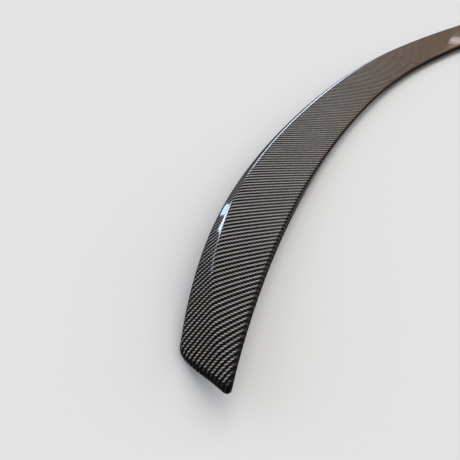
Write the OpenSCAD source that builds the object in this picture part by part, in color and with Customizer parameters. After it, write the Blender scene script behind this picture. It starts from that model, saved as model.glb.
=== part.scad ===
// Car rear spoiler: a low bow-shaped lip moulded as one thin hollow shell.
// X runs along the span, +Y points to the rear of the car and +Z points up.
// The shell rests on the flat foot of its rear wall, which lies in the plane z = 0.

/* [Plan] */
// Overall length before the front corners are rounded
span = 1250; // [1000:10:1500]
// How far the tips sweep forward of the middle in the even bow of the front edge
sweep = 113.8; // [60:0.5:160]
// Share of the half span over which that bow is eased at the middle
middle_ease = 0.25; // [0.1:0.01:0.5]
// Power of that bow along the half span
sweep_power = 1.49; // [1.4:0.01:2.2]
// How far the tips bend forward beyond the even bow
tip_sweep = 25.7; // [0:0.5:60]
// Power of that bend along the half span
tip_sweep_power = 4; // [2.5:0.1:6]
// Width from the front edge to the rear edge at the middle
mid_chord = 51.5; // [46:0.5:70]
// Width from the front edge to the rear edge that the tips taper to
tip_chord = 27; // [22:0.5:36]
// Power of the taper in width along the half span
chord_power = 5.5; // [3:0.1:8]
// How far the rear corner of each end stands back from its front corner
end_slant = 43.5; // [15:0.5:60]
// Length of edge taken by the small rounding of the front corners
front_corner = 5; // [3:0.5:9]
// Length of edge taken by the large rounding of the rear corners
rear_corner = 11; // [5:0.5:14]

/* [Upper face] */
// Height of the underside of the front edge above the foot, at the middle
front_lift = 6.3; // [4:0.1:12]
// Height of the underside of the front edge above the foot, at the tips
tip_lift = 22.8; // [16:0.1:32]
// Power of the rise of the front edge along the half span
lift_power = 2.9; // [2:0.05:4]
// Height of the turned-down front edge
front_edge = 3.6; // [3:0.1:6]
// Upward slope of the upper face towards the crest, at the middle
face_angle = 12.8; // [5:0.1:20]
// Slope of the upper face towards the crest, at the tips
tip_face_angle = -38.5; // [-42:0.5:0]
// Power of the twist of the upper face along the half span
twist_power = 11.3; // [6:0.1:14]

/* [Crest and rear facet] */
// Width of the facet behind the crest, at the middle
facet_width = 5.5; // [4:0.1:12]
// Power of the sweep of the crest from the rear edge to the front corners
crest_power = 6.05; // [4:0.05:8]
// Height lost over the facet, at the middle
facet_drop = 4.3; // [2:0.1:8]
// Power of the growth of that height towards the rear corners, where it reaches the foot
drop_power = 11.1; // [5:0.1:14]
// Half width of the rounding on the crest, at the middle
crest_round = 1.1; // [0.8:0.1:5]
// Half width of the rounding on the crest, at the tips
tip_crest_round = 7.5; // [1:0.1:12]

/* [Shell] */
// Thickness of the upper skin
wall = 2.5; // [2:0.1:3.5]
// Thickness of the rear wall, which is the width of its foot
rear_wall = 4; // [3:0.1:6]
// Width of the bonding land behind the front edge
front_land = 9; // [6:0.5:12]
// Width of the bonding land at the ends
end_land = 9; // [6:0.5:15]
// Radius of the rolled outer edges
edge_round = 2.5; // [1.5:0.1:3]
// Length of edge taken by the rounding in the corners of the hollow
hollow_corner = 5; // [2:0.5:8]

/* [Hidden] */

half = span / 2;
rear_corner_s = 1 - end_slant / half;
slant_power = 6;        // how quickly the stations turn to the line of the ends
round_power = 45;       // how late the crest rounding opens out
end_fade = 40;          // how late the underside closes up to the thin edge of the ends
edge_share = 0.6;       // largest part of an edge's height that its rounding may take
max_tip_crowding = 0.2; // least part of the section lines that stay before the crest
max_rear_crowding = 0.85;
line_power = 1.5;       // gathers section lines at the crest
station_power = 1.6;    // gathers stations at the tips
roll_steps = 3;
half_stations = 50;
face_lines = 10;
facet_lines = 8;
stations = 2 * half_stations;
lines = 2 * roll_steps + face_lines + facet_lines;

// Value that runs from mid at the middle to tip at either end
function along(s, mid, tip, power) = mid + (tip - mid) * pow(abs(s), power);

// Sizes of the section at the place s of the half span, from -1 to 1
function chord(s) = along(s, mid_chord, tip_chord, chord_power);
function lift(s) = along(s, front_lift, tip_lift, lift_power);
function crest_w(s) = (mid_chord - facet_width) * (1 - pow(abs(s), crest_power));
function face_slope(s) = tan(along(s, face_angle, tip_face_angle, twist_power));
function crest_z(s) = lift(s) + front_edge + face_slope(s) * crest_w(s);
function facet_fall(s) =
    along(s / rear_corner_s, facet_drop, crest_z(rear_corner_s) - front_edge, drop_power);
function facet_slope(s) = facet_fall(s) / (chord(s) - crest_w(s));
function crest_blend(s) =
    (face_slope(s) + facet_slope(s)) * along(s, crest_round, tip_crest_round, round_power);

// Upper surface: the rising face and the falling facet meet in a soft crest
function face_z(s, w) = lift(s) + front_edge + face_slope(s) * w;
function facet_z(s, w) = crest_z(s) - facet_slope(s) * (w - crest_w(s));
function soft_min(a, b, soft) = (a + b - sqrt(pow(a - b, 2) + soft * soft)) / 2;
function top_z(s, w) = soft_min(face_z(s, w), facet_z(s, w), crest_blend(s));
function top_slope(s, w) = top_z(s, w + 0.5) - top_z(s, w - 0.5);

// Plan: the front edge is a swept bow and each section stands square to it
bow_full = pow(1 + middle_ease * middle_ease, sweep_power / 2) - pow(middle_ease, sweep_power);
function bow_y(s) =
    -sweep / bow_full
        * (pow(s * s + middle_ease * middle_ease, sweep_power / 2) - pow(middle_ease, sweep_power))
    - tip_sweep * pow(abs(s), tip_sweep_power);
function bow_slope(s) =
    -(sweep / bow_full * sweep_power * s
          * pow(s * s + middle_ease * middle_ease, sweep_power / 2 - 1)
      + tip_sweep * tip_sweep_power * pow(abs(s), tip_sweep_power - 1) * sign(s)) / half;
function plan(s, w) =
    let (m = bow_slope(s), n = sqrt(1 + m * m))
    [half * s - w * m / n, bow_y(s) + w / n];

// Near the tips the stations lean over until the last one lies along the cut end
function place(t, share) = t * (1 - share * end_slant / half * pow(abs(t), slant_power - 1));

// Underside that sits on the boot lid: flat at the rear foot, ruled up to the front edge,
// and following the upper surface along the ends, which stay as thin as the front edge
function rear_z(t) = let (s = place(t, 1)) top_z(s, chord(s));
function seat_z(t, share) =
    let (s = place(t, share),
         w = share * chord(s),
         ruled = (top_z(s, 0) - front_edge) * max(0, 1 - w / (chord(s) - rear_wall)),
         wedge = front_edge + share * (rear_z(t) - front_edge),
         spare = top_z(s, w) - ruled - wedge)
    ruled + max(0, spare) * pow(abs(t), end_fade);

// Distances of the stations from the end and of the lines from either edge
function roll_inset(i, r) = r * (1 - cos(90 * i / roll_steps));
function station_at(i, r) =
    i <= roll_steps ? roll_inset(i, r)
    : r + (half - r) * pow((i - roll_steps) / (half_stations - roll_steps), station_power);
function crest_share(s, low, high) =
    min(max_rear_crowding, max(max_tip_crowding, (crest_w(s) - low) / (high - low)));
function gathered(j, f) =
    j <= face_lines ? f * (1 - pow(1 - j / face_lines, line_power))
    : f + (1 - f) * pow((j - face_lines) / facet_lines, line_power);
function line_at(j, s, low, high, r) =
    j < roll_steps ? low + roll_inset(j, r)
    : j > lines - roll_steps ? high - roll_inset(lines - j, r)
    : low + r + (high - low - 2 * r)
        * gathered(j - roll_steps, crest_share(s, low + r, high - r));

// Square corner of the grid pulled into a rounded one: distances from the end and the edge
function round_off(a, b, size) =
    let (p = max(0, 1 - a / size), q = max(0, 1 - b / size))
    [a >= size ? a : size * (1 - p * sqrt(1 - q * q / 2)),
     b >= size ? b : size * (1 - q * sqrt(1 - p * p / 2)),
     p > 0 && q > 0 ? size * (1 - sqrt(p * p + q * q - p * p * q * q)) : min(a, b)];

// Place on the shell of station i and line j: [t, distance from front, distance to rim]
function spot(i, j, end_inset, low, high_inset, r, front_size, rear_size) =
    let (side = i < half_stations ? -1 : 1,
         n = min(i, stations - i),
         reach = half - end_inset,
         a = station_at(n, r) * reach / half,
         t = 1 - (end_inset + a) / half,
         c = chord(t),
         high = c - high_inset,
         w = line_at(j, t, low, high, r),
         from_front = w - low < high - w,
         m = round_off(a, from_front ? w - low : high - w,
                       from_front ? front_size : rear_size),
         ww = from_front ? low + m[1] : high - m[1])
    [side * (1 - (end_inset + m[0]) / half), ww / c, m[2]];

// Outer skin with its rolled rim
function outer_spot(i, j) = spot(i, j, 0, 0, 0, edge_round, front_corner, rear_corner);
function roll_drop(d, height) =
    let (r = min(edge_round, edge_share * height), u = max(0, 1 - d / edge_round))
    r * (1 - sqrt(1 - u * u));
function outer_point(i, j) =
    let (g = outer_spot(i, j), s = place(g[0], g[1]), w = g[1] * chord(s), p = plan(s, w),
         z = top_z(s, w))
    [p[0], p[1], z - roll_drop(g[2], z - seat_z(g[0], g[1]))];

// Inner skin, one wall below the outer one and inside the bonding lands
function inner_spot(i, j) =
    spot(i, j, end_land, front_land, rear_wall, edge_round, hollow_corner, hollow_corner);
function inner_point(i, j) =
    let (g = inner_spot(i, j), s = place(g[0], g[1]), w = g[1] * chord(s), p = plan(s, w))
    [p[0], p[1], top_z(s, w) - wall * sqrt(1 + pow(top_slope(s, w), 2))];

// Foot of the rim, straight below a point of either skin
function foot_point(g) =
    let (s = place(g[0], g[1]), w = g[1] * chord(s), p = plan(s, w))
    [p[0], p[1], seat_z(g[0], g[1])];

// Rim of the grid, counter-clockwise from above
rim_count = 2 * (stations + lines);
function rim_at(q) =
    q < stations ? [q, 0]
    : q < stations + lines ? [stations, q - stations]
    : q < 2 * stations + lines ? [2 * stations + lines - q, lines]
    : [0, rim_count - q];

module spoiler_shell() {
    outer = [for (i = [0:stations], j = [0:lines]) outer_point(i, j)];
    inner = [for (i = [0:stations], j = [0:lines]) inner_point(i, j)];
    rims = [for (q = [0:rim_count - 1]) rim_at(q)];
    outer_foot = [for (k = rims) foot_point(outer_spot(k[0], k[1]))];
    inner_foot = [for (k = rims) foot_point(inner_spot(k[0], k[1]))];

    skin_count = len(outer);
    function o(i, j) = i * (lines + 1) + j;
    function n(i, j) = skin_count + o(i, j);
    function top(q) = let (k = rims[q % rim_count]) o(k[0], k[1]);
    function ceiling(q) = let (k = rims[q % rim_count]) n(k[0], k[1]);
    function out_foot(q) = 2 * skin_count + q % rim_count;
    function in_foot(q) = out_foot(q) + rim_count;
    function pair(a, b, c, d) = [[a, b, c], [a, c, d]];

    grid = [for (i = [0:stations - 1], j = [0:lines - 1]) [i, j]];
    faces = [
        for (g = grid, f = pair(o(g[0], g[1]), o(g[0], g[1] + 1),
                                o(g[0] + 1, g[1] + 1), o(g[0] + 1, g[1]))) f,
        for (g = grid, f = pair(n(g[0], g[1]), n(g[0] + 1, g[1]),
                                n(g[0] + 1, g[1] + 1), n(g[0], g[1] + 1))) f,
        for (q = [0:rim_count - 1], f = pair(top(q), top(q + 1), out_foot(q + 1), out_foot(q))) f,
        for (q = [0:rim_count - 1],
             f = pair(out_foot(q), out_foot(q + 1), in_foot(q + 1), in_foot(q))) f,
        for (q = [0:rim_count - 1],
             f = pair(in_foot(q), in_foot(q + 1), ceiling(q + 1), ceiling(q))) f
    ];

    // The origin is put below the middle of the box round the shell
    ys = [for (p = outer) p[1]];
    color([0.16, 0.15, 0.15])
        translate([0, -(min(ys) + max(ys)) / 2, 0])
            polyhedron(points = concat(outer, inner, outer_foot, inner_foot),
                       faces = faces, convexity = 10);
}

spoiler_shell();
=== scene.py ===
import math

import bpy
import numpy as np
from mathutils import Matrix, Vector


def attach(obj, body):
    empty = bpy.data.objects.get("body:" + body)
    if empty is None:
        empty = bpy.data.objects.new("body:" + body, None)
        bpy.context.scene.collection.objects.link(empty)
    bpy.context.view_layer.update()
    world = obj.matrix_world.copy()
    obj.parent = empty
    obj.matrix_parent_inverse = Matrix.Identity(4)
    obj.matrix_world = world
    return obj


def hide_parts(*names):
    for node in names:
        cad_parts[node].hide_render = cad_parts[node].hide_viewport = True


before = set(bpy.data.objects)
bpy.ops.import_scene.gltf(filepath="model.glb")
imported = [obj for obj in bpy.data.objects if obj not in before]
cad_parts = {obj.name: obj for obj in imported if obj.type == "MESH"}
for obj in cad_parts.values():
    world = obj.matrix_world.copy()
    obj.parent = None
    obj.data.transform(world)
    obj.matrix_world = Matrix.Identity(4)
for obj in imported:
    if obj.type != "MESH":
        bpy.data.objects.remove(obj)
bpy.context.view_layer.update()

MM_PER_M = 1000

# Sizes of the shell, in mm and degrees, with the values of the part's source
SPAN = 1250
# Bow of the front edge: broadly rounded at the middle, and stronger towards the tips
SWEEP = 113.8
SWEEP_POWER = 1.49
MIDDLE_EASE = 0.25
TIP_SWEEP = 25.7
TIP_SWEEP_POWER = 4
# Width of the strip
MID_CHORD = 51.5
TIP_CHORD = 27
CHORD_POWER = 5.5
# Slanted ends with rounded corners
END_SLANT = 43.5
SLANT_POWER = 6
FRONT_CORNER = 5
REAR_CORNER = 11
# How high the front edge sits above the rear foot, and how deep it is
FRONT_LIFT = 6.3
TIP_LIFT = 22.8
LIFT_POWER = 2.9
FRONT_EDGE = 3.6
# Rising face, falling rear facet and the soft crest between them
FACE_ANGLE = 12.8
TIP_FACE_ANGLE = -38.5
TWIST_POWER = 11.3
FACET_WIDTH = 5.5
CREST_POWER = 6.05
FACET_DROP = 4.3
DROP_POWER = 11.1
CREST_ROUND = 1.1
TIP_CREST_ROUND = 7.5
ROUND_POWER = 45
# Rolled edge, no larger than this share of the height of the wall
EDGE_ROUND = 2.5
EDGE_SHARE = 0.6
# Skin, rear wall, bonding lands and hollow
WALL = 2.5
REAR_WALL = 4
FRONT_LAND = 9
END_LAND = 9
HOLLOW_CORNER = 5
END_FADE = 40
HALF = SPAN / 2
REAR_CORNER_S = 1 - END_SLANT / HALF
BOW_FULL = (1 + MIDDLE_EASE ** 2) ** (SWEEP_POWER / 2) - MIDDLE_EASE ** SWEEP_POWER

# How finely the dressed skin is laid out
ROLL_STEPS = 6
HALF_STATIONS = 260
FACE_LINES = 26
FACET_LINES = 18
STATIONS = 2 * HALF_STATIONS
LINES = 2 * ROLL_STEPS + FACE_LINES + FACET_LINES
# Lines gather at the crest, which counts as lying between these shares of the width, and
# stations gather at the ends
CREST_SHARE_MIN = 0.2
CREST_SHARE_MAX = 0.85
LINE_POWER = 1.5
STATION_POWER = 1.6
ARC_STEPS = 4001
SLOPE_STEP = 0.5
CREASE_ANGLE = math.radians(40)
# Material slots of the skin
DRESSED, RAW = 0, 1

# Cloth: width of one tow in mm, and how far it slips along the part over the rear facet, which
# grows towards the tips
TOW = 1.40
FACET_SHEAR = 0.46
SHEAR_POWER = 3.5
# The twill repeats after four tows, and each tow floats over two
TWILL_REPEAT = 4.0
TWILL_FLOAT = 2.0
# Whole steps of the repeat below this have the tow that runs across on top
ACROSS_BELOW = TWILL_FLOAT - 0.5
# How full a tow is across itself and along its float, and how soon its painted sheen sinks in the gaps
CROWN_POWER = 2.0
ARCH_POWER = 2.5
GAP_POWER = 2.0
# Fibres within a tow, drawn out along it
FIBRE_SCALE = 9.0
FIBRE_STRETCH = 0.35
FIBRE_RELIEF = 0.15
FIBRE_ROUGHNESS = 0.15
# Brightness: a random level for each tow, and slow clouds over the cloth
ALONG_SEED = 3.0
ACROSS_SEED = 7.0
CLOUD_SCALE = 0.045
CLOUD_DETAIL = 3.0
# (how much the pattern adds, brightness where it is nil)
TOW_TONE = (0.22, 0.89)
FIBRE_TONE = (0.5, 0.75)
CLOUD_TONE = (0.3, 0.85)
# How late painted shade turns the cloth black where it rolls over the front edge and the ends,
# and over the rear edge
FRONT_DARKENING = 0.3
REAR_DARKENING = 4.0
# How dark the painted shade still is at the foot of the walls
FOOT_SHADE = 0.2
# Share of the width where the front edge gives way to the rear edge
MIDDLE_OF_WIDTH = 0.5

# Colours, linear
BACKGROUND = (0.768, 0.768, 0.768)
# Painted sheen: tows running one way are painted pale for their glint; the fibre itself is near black
PAINTED_SHEEN_TOW = (0.62, 0.585, 0.57)
DARK_TOW = (0.006, 0.005, 0.004)
TOW_GAP = (0.004, 0.0035, 0.003)
# Painted shade: black laid over the cloth on the rolled front edge, the ends and the walls
PAINTED_EDGE_SHADE = (0.004, 0.0035, 0.0035)
RAW_LAMINATE = (0.022, 0.021, 0.021)

# Finish: a relief is (height in m, strength)
LIGHT_ROUGHNESS = 0.24
DARK_ROUGHNESS = 0.7
CLOTH_SPECULAR = 0.1
CLOTH_RELIEF = (0.00012, 0.6)
COAT_ROUGHNESS = 0.025
COAT_IOR = 1.5
RIPPLE_SCALE = 90.0
COAT_RIPPLE = (0.0002, 0.02)
# Inside of the shell: pools of resin over the cloth
POOL_SCALE = 60.0
POOL_DETAIL = 4.0
POOL_COVER = 0.6
POOL_ROUGHNESS = (0.3, 0.4)
RAW_CLOTH_SHARE = 0.5
RAW_CLOTH_RELIEF = 0.4
RAW_RELIEF = (0.0002, 0.5)
# Paper of the floor
PAPER_SCALE = 220.0
PAPER_GRAIN = 0.005

# Camera of the photograph: place in mm, angles in degrees, azimuth from +X towards +Y
CAMERA_AT = (-805.98, -214.55, 216.28)
CAMERA_AZIMUTH = 33.101
CAMERA_DOWN = 27.725
CAMERA_ROLL = -0.114
FOCAL_PX = 660.9
FRAME_PX = 460
SENSOR = 36.0
CLIP_START = 0.01

# Studio, in m
FLOOR_SIZE = 14.0
AMBIENT = (0.44, 0.438, 0.43)
# (energy, width in degrees, azimuth and elevation it comes from, colour)
KEY = (2.05, 90, (300, 54), (1.0, 0.985, 0.955))
FILL = (0.80, 80, (130, 14), (0.50, 0.64, 1.0))
# What the gloss of the coat sees: windows, walls behind them and the room behind it all, so far
# off that they mirror alike along the whole part
CARD_DISTANCE = 600.0
WARM_WALL_DISTANCE = 660.0
PALE_WALL_DISTANCE = 720.0
ROOM_DISTANCE = 800.0
CARD_STEPS = 24
# (azimuths, elevations, width of the soft rim, colour), angles in degrees
ROOM = ((-180, 180), (-1, 85), 0, (0.045, 0.031, 0.014))
WARM_WALL = ((0, 15), (14, 30), 6, (0.29, 0.125, 0.03))
PALE_WALL = ((5, 22), (14, 32), 7, (0.28, 0.255, 0.225))
WINDOW = ((20.0, 38.0), (12, 18.5), 1.0, (6.0, 7.0, 9.0))
LOW_WINDOW = ((49.3, 52.0), (-0.5, 5), 0.4, (2.6, 3.2, 4.4))
TALL_WINDOW = ((47.8, 55.5), (5.5, 17), 0.8, (4.4, 5.0, 6.3))
SLIT = ((51.5, 65), (11, 16), 2.2, (1.5, 1.9, 2.7))
FAR_WINDOW = ((5.0, 8.15), (20.55, 20.655), 0.035, (3.9, 3.5, 3.4))
FAR_LAMP = ((5.0, 7.9), (20.49, 20.55), 0.02, (2.6, 1.4, 0.6))
FLOOR_FLAG_HEIGHT = 0.001
FLOOR_FLAG = (0.020, 0.018, 0.016)
# Pale patch of floor that the far front wall mirrors: along the span it begins, is full, begins
# to fade and ends, then its depth and colour
FLOOR_GLOW_HEIGHT = 0.002
FLOOR_GLOW = ((-0.42, -0.28, -0.02, 0.07), (-0.3, 0.034), (0.64, 0.54, 0.66))
FLOOR_GLOW_STRENGTH = (0.0, 1.0, 1.0, 0.0)

# Sockets of Blender's Mix node: share, first and second value, and the colour that comes out
MIX_NUMBERS = (0, 2, 3)
MIX_COLORS = (0, 6, 7)
MIXED_COLOR = 2


# Shape of the shell. s runs from -1 to 1 along the span, w is the distance behind the front edge
# in mm, t is s before the ends are slanted, and share is w as a share of the width
def along(s, mid, tip, power):
    """A value that goes from the middle of the span to its tips."""
    return mid + (tip - mid) * np.abs(s) ** power


def chord(s):
    return along(s, MID_CHORD, TIP_CHORD, CHORD_POWER)


def lift(s):
    return along(s, FRONT_LIFT, TIP_LIFT, LIFT_POWER)


def crest_w(s):
    """The crest leaves the rear edge and reaches the front corner at the tips."""
    return (MID_CHORD - FACET_WIDTH) * (1 - np.abs(s) ** CREST_POWER)


def face_slope(s):
    return np.tan(np.radians(along(s, FACE_ANGLE, TIP_FACE_ANGLE, TWIST_POWER)))


def crest_z(s):
    return lift(s) + FRONT_EDGE + face_slope(s) * crest_w(s)


def facet_slope(s):
    fall = along(s / REAR_CORNER_S, FACET_DROP, crest_z(REAR_CORNER_S) - FRONT_EDGE, DROP_POWER)
    return fall / (chord(s) - crest_w(s))


def top_z(s, w):
    """Upper surface: the rising face and the falling facet meet in a soft crest."""
    face = lift(s) + FRONT_EDGE + face_slope(s) * w
    facet = crest_z(s) - facet_slope(s) * (w - crest_w(s))
    soft = (face_slope(s) + facet_slope(s)) * along(s, CREST_ROUND, TIP_CREST_ROUND, ROUND_POWER)
    return (face + facet - np.sqrt((face - facet) ** 2 + soft ** 2)) / 2


def bow_slope(s):
    size = np.abs(s)
    eased = s * s + MIDDLE_EASE ** 2
    bend = (SWEEP / BOW_FULL * SWEEP_POWER * size * eased ** (SWEEP_POWER / 2 - 1)
            + TIP_SWEEP * TIP_SWEEP_POWER * size ** (TIP_SWEEP_POWER - 1))
    return -bend * np.sign(s) / HALF


def plan(s, w):
    """The front edge is a swept bow and each section stands square to it."""
    eased = (s * s + MIDDLE_EASE ** 2) ** (SWEEP_POWER / 2) - MIDDLE_EASE ** SWEEP_POWER
    y = -SWEEP / BOW_FULL * eased - TIP_SWEEP * np.abs(s) ** TIP_SWEEP_POWER
    slope = bow_slope(s)
    length = np.sqrt(1 + slope * slope)
    return HALF * s - w * slope / length, y + w / length


def place(t, share):
    """Slants the ends: the further behind the front edge, the nearer to the middle."""
    return t * (1 - share * END_SLANT / HALF * np.abs(t) ** (SLANT_POWER - 1))


def seat_z(t, share):
    """Underside that sits on the boot lid."""
    s = place(t, share)
    w = share * chord(s)
    rear = place(t, 1.0)
    ruled = (top_z(s, 0 * s) - FRONT_EDGE) * np.maximum(0, 1 - w / (chord(s) - REAR_WALL))
    wedge = FRONT_EDGE + share * (top_z(rear, chord(rear)) - FRONT_EDGE)
    spare = top_z(s, w) - ruled - wedge
    return ruled + np.maximum(0, spare) * np.abs(t) ** END_FADE


# Grid over the shell
def roll_inset(step, size):
    """Steps that follow a quarter circle in from the edge."""
    return size * (1 - np.cos(np.pi / 2 * step / ROLL_STEPS))


def station_at(step, size):
    """Distance of a station from the end of the span."""
    rest = np.maximum(step - ROLL_STEPS, 0) / (HALF_STATIONS - ROLL_STEPS)
    return np.where(step <= ROLL_STEPS, roll_inset(step, size),
                    size + (HALF - size) * rest ** STATION_POWER)


def gathered(line, crest):
    """Lines drawn together at the crest, which lies at the given share of the width."""
    front = crest * (1 - np.clip(1 - line / FACE_LINES, 0, 1) ** LINE_POWER)
    rear = crest + (1 - crest) * np.clip((line - FACE_LINES) / FACET_LINES, 0, 1) ** LINE_POWER
    return np.where(line <= FACE_LINES, front, rear)


def line_at(line, s, low, high, size):
    """Distance of a line behind the front edge, between the low and the high rim."""
    front, rear = low + size, high - size
    crest = np.clip((crest_w(s) - front) / (rear - front), CREST_SHARE_MIN, CREST_SHARE_MAX)
    middle = front + (rear - front) * gathered(line - ROLL_STEPS, crest)
    last = high - roll_inset(LINES - line, size)
    return np.where(line < ROLL_STEPS, low + roll_inset(line, size),
                    np.where(line > LINES - ROLL_STEPS, last, middle))


def round_off(from_end, from_side, size):
    """Square corner of the grid pulled into a rounded one, and the distance to its rim."""
    p = np.maximum(0, 1 - from_end / size)
    q = np.maximum(0, 1 - from_side / size)
    end_moved = np.where(from_end >= size, from_end, size * (1 - p * np.sqrt(1 - q * q / 2)))
    side_moved = np.where(from_side >= size, from_side, size * (1 - q * np.sqrt(1 - p * p / 2)))
    rim = size * (1 - np.sqrt(p * p + q * q - p * p * q * q))
    return end_moved, side_moved, np.where((p > 0) & (q > 0), rim, np.minimum(from_end, from_side))


def spots(end_inset, low, high_inset, front_size, rear_size):
    """Grid over the shell: station, share of the width and distance to the rim."""
    i, j = np.meshgrid(np.arange(STATIONS + 1), np.arange(LINES + 1), indexing="ij")
    side = np.where(i < HALF_STATIONS, -1, 1)
    reach = HALF - end_inset
    from_end = station_at(np.minimum(i, STATIONS - i), EDGE_ROUND) * reach / HALF
    t = 1 - (end_inset + from_end) / HALF
    width = chord(t)
    high = width - high_inset
    w = line_at(j, t, low, high, EDGE_ROUND)
    at_front = w - low < high - w
    end_moved, side_moved, rim = round_off(from_end, np.where(at_front, w - low, high - w),
                                           np.where(at_front, front_size, rear_size))
    w_moved = np.where(at_front, low + side_moved, high - side_moved)
    return side * (1 - (end_inset + end_moved) / HALF), w_moved / width, rim


def rim_indices():
    """Rim of the grid, counter-clockwise from above."""
    ring = [(i, 0) for i in range(STATIONS)]
    ring += [(STATIONS, j) for j in range(LINES)]
    ring += [(i, LINES) for i in range(STATIONS, 0, -1)]
    ring += [(0, j) for j in range(LINES, 0, -1)]
    return np.array([i * (LINES + 1) + j for i, j in ring])


# Cloth on the shell
def front_arc(s):
    """Length along the front edge from the middle, signed."""
    steps = np.linspace(-1, 1, ARC_STEPS)
    x, y = plan(steps, 0 * steps)
    length = np.concatenate([[0], np.cumsum(np.hypot(np.diff(x), np.diff(y)))])
    return np.interp(s, steps, length - length[len(length) // 2])


def weave_uv(s, w):
    """Cloth coordinates in tows: across the strip and along it."""
    before = np.minimum(w, crest_w(s)) * np.sqrt(1 + face_slope(s) ** 2)
    beyond = np.maximum(w - crest_w(s), 0) * np.sqrt(1 + facet_slope(s) ** 2)
    u = -(before + beyond) / TOW
    v = -(front_arc(s) + beyond * np.sign(s) * along(s, 0, FACET_SHEAR, SHEAR_POWER)) / TOW
    return u, v


def wrapped(skin, ring, depth):
    """Cloth coordinates where the cloth has turned down over the rim by the given depth."""
    x, y = skin["x"][ring], skin["y"][ring]
    run_x, run_y = np.roll(x, -1) - np.roll(x, 1), np.roll(y, -1) - np.roll(y, 1)
    size = np.hypot(run_x, run_y)
    out_x, out_y = run_y / size, -run_x / size
    slope = bow_slope(skin["s"][ring])
    length = np.sqrt(1 + slope * slope)
    across = (-slope * out_x + out_y) / length
    lengthwise = (out_x + slope * out_y) / length
    return skin["u"][ring] - across * depth / TOW, skin["v"][ring] - lengthwise * depth / TOW


def edge_shade(tuck, t, share):
    """How far painted shade blacks out the cloth along the turned-down edge."""
    at_front_or_end = (share < MIDDLE_OF_WIDTH) | (HALF * (1 - np.abs(t)) < EDGE_ROUND)
    return np.where(at_front_or_end, tuck ** FRONT_DARKENING, tuck ** REAR_DARKENING)


# Mesh of the shell
def stack(*columns):
    return np.stack(columns, 1)


def lay_skin(grid):
    """Flat lists of the plan position, station values and cloth coordinates of a grid."""
    t, share, rim = (values.ravel() for values in grid)
    s = place(t, share)
    w = share * chord(s)
    x, y = plan(s, w)
    u, v = weave_uv(s, w)
    return {"t": t, "share": share, "rim": rim, "s": s, "w": w, "x": x, "y": y, "u": u, "v": v}


def outer_heights(outer, tuck):
    """Upper surface with its edge rolled over, and the seat below it."""
    height = top_z(outer["s"], outer["w"])
    seat = seat_z(outer["t"], outer["share"])
    roll = np.minimum(EDGE_ROUND, EDGE_SHARE * (height - seat))
    return height - roll * (1 - np.sqrt(1 - tuck ** 2)), seat


def inner_heights(inner):
    """Ceiling of the hollow, one wall below the surface and square to it, and the seat."""
    s, w = inner["s"], inner["w"]
    grade = (top_z(s, w + SLOPE_STEP) - top_z(s, w - SLOPE_STEP)) / (2 * SLOPE_STEP)
    return top_z(s, w) - WALL * np.sqrt(1 + grade ** 2), seat_z(inner["t"], inner["share"])


def shell_points(outer, inner, ring, tuck):
    """Corners in mm and cloth coordinates: outer skin, ceiling, outer foot and inner foot."""
    outer_z, outer_seat = outer_heights(outer, tuck)
    inner_z, inner_seat = inner_heights(inner)
    points = np.concatenate([stack(outer["x"], outer["y"], outer_z),
                             stack(inner["x"], inner["y"], inner_z),
                             stack(outer["x"][ring], outer["y"][ring], outer_seat[ring]),
                             stack(inner["x"][ring], inner["y"][ring], inner_seat[ring])])
    points[:, 1] -= (outer["y"].min() + outer["y"].max()) / 2
    foot_u, foot_v = wrapped(outer, ring, outer_z[ring] - outer_seat[ring])
    uv = np.concatenate([stack(outer["u"], outer["v"]),
                         stack(inner["u"], inner["v"]),
                         stack(foot_u, foot_v),
                         stack(inner["u"][ring], inner["v"][ring])])
    return points, uv


def shell_faces(ring, count):
    """Faces and their material slots, for grids of the given count of corners."""
    i, j = np.meshgrid(np.arange(STATIONS), np.arange(LINES), indexing="ij")
    near = (i * (LINES + 1) + j).ravel()
    next_line = near + 1
    next_station = near + LINES + 1
    far = next_station + 1
    top = stack(near, next_station, far, next_line)
    ceiling = stack(near, next_line, far, next_station) + count

    steps = np.arange(len(ring))
    ring_next = np.roll(ring, -1)
    foot = 2 * count + steps
    foot_next = 2 * count + np.roll(steps, -1)
    inner_foot, inner_foot_next = foot + len(ring), foot_next + len(ring)
    walls = stack(ring, foot, foot_next, ring_next)
    feet = stack(foot, inner_foot, inner_foot_next, foot_next)
    inner_walls = stack(inner_foot, ring + count, ring_next + count, inner_foot_next)

    faces = np.concatenate([top, walls, ceiling, feet, inner_walls])
    dressed_count = len(top) + len(walls)
    return faces, np.where(np.arange(len(faces)) < dressed_count, DRESSED, RAW)


def build_shell():
    outer = lay_skin(spots(0, 0, 0, FRONT_CORNER, REAR_CORNER))
    inner = lay_skin(spots(END_LAND, FRONT_LAND, REAR_WALL, HOLLOW_CORNER, HOLLOW_CORNER))
    ring = rim_indices()
    count = len(outer["x"])
    tuck = np.maximum(0, 1 - outer["rim"] / EDGE_ROUND)
    points, uv = shell_points(outer, inner, ring, tuck)
    faces, slots = shell_faces(ring, count)
    # Painted shade: how far each corner of the turned-down edges and walls is painted black
    turned = np.full(len(points), FOOT_SHADE)
    turned[:count] = edge_shade(tuck, outer["t"], outer["share"])
    return points / MM_PER_M, faces, uv, slots, turned


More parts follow.
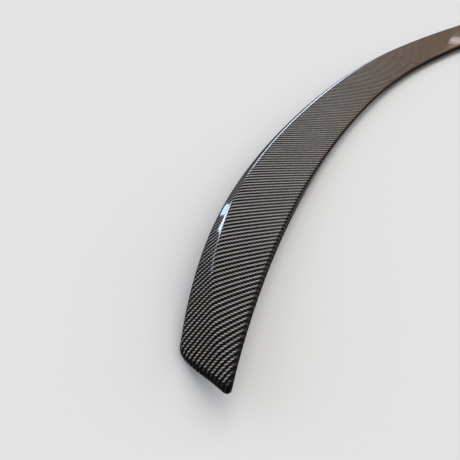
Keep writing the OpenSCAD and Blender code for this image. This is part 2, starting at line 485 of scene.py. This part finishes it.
def make_shell(materials):
    points, faces, uv, slots, turned = build_shell()
    mesh = bpy.data.meshes.new("spoiler_skin")
    mesh.from_pydata(points.tolist(), [], faces.tolist())
    mesh.update()
    layer = mesh.uv_layers.new(name="weave")
    corners = np.zeros(len(mesh.loops), dtype=np.int64)
    mesh.loops.foreach_get("vertex_index", corners)
    layer.data.foreach_set("uv", uv[corners].astype(np.float32).ravel())
    # Painted shade of the turned-down edges, read by the cloth material
    mesh.attributes.new("painted_shade_amount", "FLOAT", "POINT").data.foreach_set("value", turned)
    for material in materials:
        mesh.materials.append(material)
    mesh.polygons.foreach_set("material_index", slots.astype(np.int32))
    mesh.shade_smooth()
    mesh.set_sharp_from_angle(angle=CREASE_ANGLE)
    shell = bpy.data.objects.new("spoiler_skin", mesh)
    bpy.context.scene.collection.objects.link(shell)
    return shell


# Materials
class Graph:
    """Small helper that adds linked nodes to a node tree."""

    def __init__(self, tree):
        self.tree = tree

    def add(self, kind, **settings):
        node = self.tree.nodes.new(kind)
        for name, value in settings.items():
            setattr(node, name, value)
        return node

    def put(self, socket, value):
        if isinstance(value, bpy.types.NodeSocket):
            self.tree.links.new(value, socket)
        else:
            socket.default_value = value

    def math(self, operation, *values):
        node = self.add("ShaderNodeMath", operation=operation)
        for socket, value in zip(node.inputs, values):
            self.put(socket, value)
        return node.outputs[0]

    def mix(self, *values):
        """Share, then the numbers at share 0 and at share 1."""
        node = self.add("ShaderNodeMix", data_type="FLOAT")
        for index, value in zip(MIX_NUMBERS, values):
            self.put(node.inputs[index], value)
        return node.outputs[0]

    def mix_color(self, *values):
        """Share, then the colours at share 0 and at share 1."""
        node = self.add("ShaderNodeMix", data_type="RGBA")
        for index, value in zip(MIX_COLORS, values):
            opaque = (*value, 1.0) if isinstance(value, tuple) else value
            self.put(node.inputs[index], opaque)
        return node.outputs[MIXED_COLOR]

    def combine(self, x, y):
        node = self.add("ShaderNodeCombineXYZ")
        for socket, value in zip(node.inputs, (x, y)):
            self.put(socket, value)
        return node.outputs[0]

    def noise(self, vector, scale, detail=2.0):
        node = self.add("ShaderNodeTexNoise")
        self.put(node.inputs["Vector"], vector)
        node.inputs["Scale"].default_value = scale
        node.inputs["Detail"].default_value = detail
        return node.outputs["Fac"]

    def white(self, value, seed):
        """One random number for each whole value."""
        node = self.add("ShaderNodeTexWhiteNoise", noise_dimensions="2D")
        self.put(node.inputs["Vector"], self.combine(value, seed))
        return node.outputs["Value"]

    def bump(self, height, relief):
        node = self.add("ShaderNodeBump")
        node.inputs["Distance"].default_value, node.inputs["Strength"].default_value = relief
        self.put(node.inputs["Height"], height)
        return node.outputs[0]

    def object_place(self):
        return self.add("ShaderNodeTexCoord").outputs["Object"]


def new_material(name):
    material = bpy.data.materials.new(name)
    material.use_nodes = True
    material.node_tree.nodes.clear()
    graph = Graph(material.node_tree)
    output = graph.add("ShaderNodeOutputMaterial")
    shader = graph.add("ShaderNodeBsdfPrincipled")
    graph.put(output.inputs["Surface"], shader.outputs[0])
    return material, graph, shader


def hump(graph, share, power):
    """1 in the middle of the range from 0 to 1, and 0 at both its ends."""
    from_middle = graph.math("ABSOLUTE", graph.math("MULTIPLY_ADD", share, 2.0, -1.0))
    return graph.math("SUBTRACT", 1.0, graph.math("POWER", from_middle, power))


def repeat(graph, first, second):
    """Place within the repeat of the twill."""
    return graph.math("FLOORED_MODULO", graph.math("ADD", first, second), TWILL_REPEAT)


def twill(graph):
    """Two-over-two twill from the cloth coordinates: which tow is on top, and its form."""
    uv = graph.add("ShaderNodeUVMap", uv_map="weave").outputs[0]
    split = graph.add("ShaderNodeSeparateXYZ")
    graph.put(split.inputs[0], uv)
    u, v = split.outputs[0], split.outputs[1]
    whole_u, whole_v = graph.math("FLOOR", u), graph.math("FLOOR", v)
    part_u, part_v = graph.math("FRACT", u), graph.math("FRACT", v)
    across_on_top = graph.math("LESS_THAN", repeat(graph, whole_u, whole_v), ACROSS_BELOW)
    run_across = repeat(graph, u, whole_v)
    run_along = graph.math("SUBTRACT", repeat(graph, v, whole_u), TWILL_FLOAT)
    run = graph.math("MULTIPLY", graph.mix(across_on_top, run_along, run_across), 1 / TWILL_FLOAT)
    side = graph.mix(across_on_top, part_u, part_v)
    crown = hump(graph, side, CROWN_POWER)
    arch = hump(graph, run, ARCH_POWER)
    return {"u": u, "v": v, "whole_u": whole_u, "whole_v": whole_v, "across": across_on_top,
            "height": graph.math("MULTIPLY", crown, arch)}


def fibres_of(graph, cloth):
    """Fine fibres that lie along each tow."""
    drawn_u = graph.math("MULTIPLY", cloth["u"], FIBRE_STRETCH)
    drawn_v = graph.math("MULTIPLY", cloth["v"], FIBRE_STRETCH)
    fibres_across = graph.noise(graph.combine(drawn_u, cloth["v"]), FIBRE_SCALE)
    fibres_along = graph.noise(graph.combine(cloth["u"], drawn_v), FIBRE_SCALE)
    return graph.mix(cloth["across"], fibres_along, fibres_across)


def tone_of(graph, cloth, fibres):
    """Brightness of the cloth, which varies with the tow, its fibres and slow clouds."""
    tows = graph.mix(cloth["across"], graph.white(cloth["whole_u"], ALONG_SEED),
                     graph.white(cloth["whole_v"], ACROSS_SEED))
    clouds = graph.noise(graph.combine(cloth["u"], cloth["v"]), CLOUD_SCALE, CLOUD_DETAIL)
    tone = graph.math("MULTIPLY", graph.math("MULTIPLY_ADD", tows, *TOW_TONE),
                      graph.math("MULTIPLY_ADD", fibres, *FIBRE_TONE))
    return graph.math("MULTIPLY", tone, graph.math("MULTIPLY_ADD", clouds, *CLOUD_TONE))


def gloss_weave():
    """Clear-coated twill cloth, blacked out by painted shade where it turns down."""
    material, graph, shader = new_material("gloss_weave")
    cloth = twill(graph)
    fibres = fibres_of(graph, cloth)

    # Painted sheen: one set of tows is painted pale, brightest on its crown and black in the gaps
    base = graph.mix_color(cloth["across"], DARK_TOW, PAINTED_SHEEN_TOW)
    base = graph.mix_color(graph.math("POWER", cloth["height"], GAP_POWER), TOW_GAP, base)
    turned = graph.add("ShaderNodeAttribute", attribute_name="painted_shade_amount").outputs["Fac"]
    # Painted shade turns the cloth black over the turned-down edges
    base = graph.mix_color(turned, base, PAINTED_EDGE_SHADE)
    tinted = graph.add("ShaderNodeVectorMath", operation="SCALE")
    graph.put(tinted.inputs[0], base)
    graph.put(tinted.inputs["Scale"], tone_of(graph, cloth, fibres))
    graph.put(shader.inputs["Base Color"], tinted.outputs[0])

    dullness = graph.mix(cloth["across"], DARK_ROUGHNESS, LIGHT_ROUGHNESS)
    graph.put(shader.inputs["Roughness"], graph.math("MULTIPLY_ADD", fibres, FIBRE_ROUGHNESS, dullness))
    relief = graph.math("MULTIPLY_ADD", fibres, FIBRE_RELIEF, cloth["height"])
    graph.put(shader.inputs["Normal"], graph.bump(relief, CLOTH_RELIEF))
    shader.inputs["Specular IOR Level"].default_value = CLOTH_SPECULAR

    # The coat is smooth, with the faint waviness of sprayed lacquer
    ripple = graph.noise(graph.object_place(), RIPPLE_SCALE)
    graph.put(shader.inputs["Coat Normal"], graph.bump(ripple, COAT_RIPPLE))
    shader.inputs["Coat Weight"].default_value = 1.0
    shader.inputs["Coat Roughness"].default_value = COAT_ROUGHNESS
    shader.inputs["Coat IOR"].default_value = COAT_IOR
    return material


def raw_laminate():
    """Uncoated inside of the shell, where the resin has pooled over the cloth."""
    material, graph, shader = new_material("raw_laminate")
    cloth = twill(graph)
    pools = graph.noise(graph.object_place(), POOL_SCALE, POOL_DETAIL)
    shown = graph.math("MULTIPLY", cloth["height"], RAW_CLOTH_SHARE)
    dull = graph.mix_color(shown, TOW_GAP, RAW_LAMINATE)
    cover = graph.math("MULTIPLY", pools, POOL_COVER)
    graph.put(shader.inputs["Base Color"], graph.mix_color(cover, dull, RAW_LAMINATE))
    graph.put(shader.inputs["Roughness"], graph.math("MULTIPLY_ADD", pools, *POOL_ROUGHNESS))
    relief = graph.math("MULTIPLY_ADD", cloth["height"], RAW_CLOTH_RELIEF, pools)
    graph.put(shader.inputs["Normal"], graph.bump(relief, RAW_RELIEF))
    return material


# Studio
def backdrop_material():
    """Pale matt paper with a faint grain."""
    material, graph, shader = new_material("backdrop")
    grain = graph.noise(graph.object_place(), PAPER_SCALE)
    pale = graph.mix_color(grain, tuple((1 - PAPER_GRAIN) * part for part in BACKGROUND),
                           tuple((1 + PAPER_GRAIN) * part for part in BACKGROUND))
    graph.put(shader.inputs["Base Color"], pale)
    shader.inputs["Roughness"].default_value = 1.0
    shader.inputs["Specular IOR Level"].default_value = 0.0
    return material


def make_floor():
    bpy.ops.mesh.primitive_plane_add(size=FLOOR_SIZE)
    floor = bpy.context.object
    floor.name = "floor"
    floor.data.materials.append(backdrop_material())


def make_world():
    """Plain soft light, and the background colour where the world is looked at or mirrored."""
    world = bpy.data.worlds.new("studio")
    world.use_nodes = True
    world.node_tree.nodes.clear()
    graph = Graph(world.node_tree)
    path = graph.add("ShaderNodeLightPath")
    seen = graph.math("MAXIMUM", path.outputs["Is Camera Ray"], path.outputs["Is Glossy Ray"])
    seen = graph.math("MAXIMUM", seen, path.outputs["Is Transmission Ray"])
    sky = graph.add("ShaderNodeBackground")
    graph.put(sky.inputs["Color"], graph.mix_color(seen, AMBIENT, BACKGROUND))
    output = graph.add("ShaderNodeOutputWorld")
    graph.put(output.inputs["Surface"], sky.outputs[0])
    bpy.context.scene.world = world


def direction(azimuth, elevation):
    """Unit vector: azimuth from +X towards +Y, elevation above the floor."""
    a, e = math.radians(azimuth), math.radians(elevation)
    return Vector((math.cos(a) * math.cos(e), math.sin(a) * math.cos(e), math.sin(e)))


def make_sun(name, lamp):
    energy, spread, place_from, color = lamp
    light = bpy.data.lights.new(name, "SUN")
    light.energy = energy
    light.angle = math.radians(spread)
    light.color = color
    sun = bpy.data.objects.new(name, light)
    sun.rotation_euler = direction(*place_from).to_track_quat("Z", "Y").to_euler()
    sun.visible_glossy = False
    bpy.context.scene.collection.objects.link(sun)


def glow_material(name, color):
    """Light of its own, which thins out to clear where the panel's strength falls off."""
    material = bpy.data.materials.new(name)
    material.use_nodes = True
    material.node_tree.nodes.clear()
    graph = Graph(material.node_tree)
    strength = graph.add("ShaderNodeAttribute", attribute_name="strength").outputs["Fac"]
    glow = graph.add("ShaderNodeEmission")
    glow.inputs["Color"].default_value = (*color, 1.0)
    clear = graph.add("ShaderNodeBsdfTransparent")
    blend = graph.add("ShaderNodeMixShader")
    for socket, value in zip(blend.inputs, (strength, clear.outputs[0], glow.outputs[0])):
        graph.put(socket, value)
    output = graph.add("ShaderNodeOutputMaterial")
    graph.put(output.inputs["Surface"], blend.outputs[0])
    return material


def add_card(name, points, faces, strength, color):
    """A panel that is seen in the gloss of the coat and lights nothing."""
    mesh = bpy.data.meshes.new(name)
    mesh.from_pydata(points, [], faces)
    mesh.attributes.new("strength", "FLOAT", "POINT").data.foreach_set("value", strength)
    mesh.materials.append(glow_material(name, color))
    card = bpy.data.objects.new(name, mesh)
    bpy.context.scene.collection.objects.link(card)
    card.visible_camera = False
    card.visible_diffuse = False
    card.visible_shadow = False


def sheet_faces(rows, columns):
    """Faces of a sheet whose corners are listed row by row."""
    return [(i * columns + j, (i + 1) * columns + j, (i + 1) * columns + j + 1, i * columns + j + 1)
            for i in range(rows - 1) for j in range(columns - 1)]


def fall_off(value, low, high, soft):
    return min(1.0, (value - low) / soft, (high - value) / soft) if soft else 1.0


def make_card(name, spread, distance):
    """Curved panel round the object, between two azimuths and two elevations."""
    (az_from, az_to), (el_from, el_to), soft, color = spread
    points, strength = [], []
    for i in range(CARD_STEPS + 1):
        for j in range(CARD_STEPS + 1):
            azimuth = az_from + (az_to - az_from) * i / CARD_STEPS
            elevation = el_from + (el_to - el_from) * j / CARD_STEPS
            points.append(direction(azimuth, elevation) * distance)
            strength.append(fall_off(azimuth, az_from, az_to, soft)
                            * fall_off(elevation, el_from, el_to, soft))
    add_card(name, points, sheet_faces(CARD_STEPS + 1, CARD_STEPS + 1), strength, color)


def make_floor_flag():
    """Keeps the glare of the pale floor out of the gloss."""
    ends = (-FLOOR_SIZE / 2, FLOOR_SIZE / 2)
    corners = [(x, y, FLOOR_FLAG_HEIGHT) for x in ends for y in ends]
    add_card("floor_flag", corners, sheet_faces(2, 2), [1.0] * len(corners), FLOOR_FLAG)


def make_floor_glow():
    """Pale floor seen only in the gloss of the far front wall."""
    steps, depth, color = FLOOR_GLOW
    corners = [(x, y, FLOOR_GLOW_HEIGHT) for x in steps for y in depth]
    strength = [level for level in FLOOR_GLOW_STRENGTH for _ in depth]
    add_card("floor_glow", corners, sheet_faces(len(steps), len(depth)), strength, color)


def make_camera():
    data = bpy.data.cameras.new("camera")
    data.sensor_width = SENSOR
    data.lens = SENSOR * FOCAL_PX / FRAME_PX
    data.clip_start = CLIP_START
    camera = bpy.data.objects.new("camera", data)
    az, down, roll = (math.radians(angle) for angle in (CAMERA_AZIMUTH, CAMERA_DOWN, CAMERA_ROLL))
    forward = Vector((math.cos(az) * math.cos(down), math.sin(az) * math.cos(down), -math.sin(down)))
    right = Vector((math.sin(az), -math.cos(az), 0))
    up = right.cross(forward)
    right, up = (right * math.cos(roll) + up * math.sin(roll),
                 up * math.cos(roll) - right * math.sin(roll))
    camera.matrix_world = Matrix((
        (right.x, up.x, -forward.x, CAMERA_AT[0] / MM_PER_M),
        (right.y, up.y, -forward.y, CAMERA_AT[1] / MM_PER_M),
        (right.z, up.z, -forward.z, CAMERA_AT[2] / MM_PER_M),
        (0, 0, 0, 1)))
    bpy.context.scene.collection.objects.link(camera)
    bpy.context.scene.camera = camera


make_camera()
make_world()
make_sun("key", KEY)
make_sun("fill", FILL)
make_floor()
make_floor_flag()
make_floor_glow()
make_card("room", ROOM, ROOM_DISTANCE)
make_card("warm_wall", WARM_WALL, WARM_WALL_DISTANCE)
make_card("pale_wall", PALE_WALL, PALE_WALL_DISTANCE)
make_card("window", WINDOW, CARD_DISTANCE)
make_card("low_window", LOW_WINDOW, CARD_DISTANCE)
make_card("tall_window", TALL_WINDOW, CARD_DISTANCE)
make_card("slit", SLIT, CARD_DISTANCE)
make_card("far_window", FAR_WINDOW, CARD_DISTANCE)
make_card("far_lamp", FAR_LAMP, CARD_DISTANCE)

shell = make_shell([gloss_weave(), raw_laminate()])
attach(shell, "root")
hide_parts("spoiler_shell")

bpy.context.scene.view_settings.view_transform = "Standard"
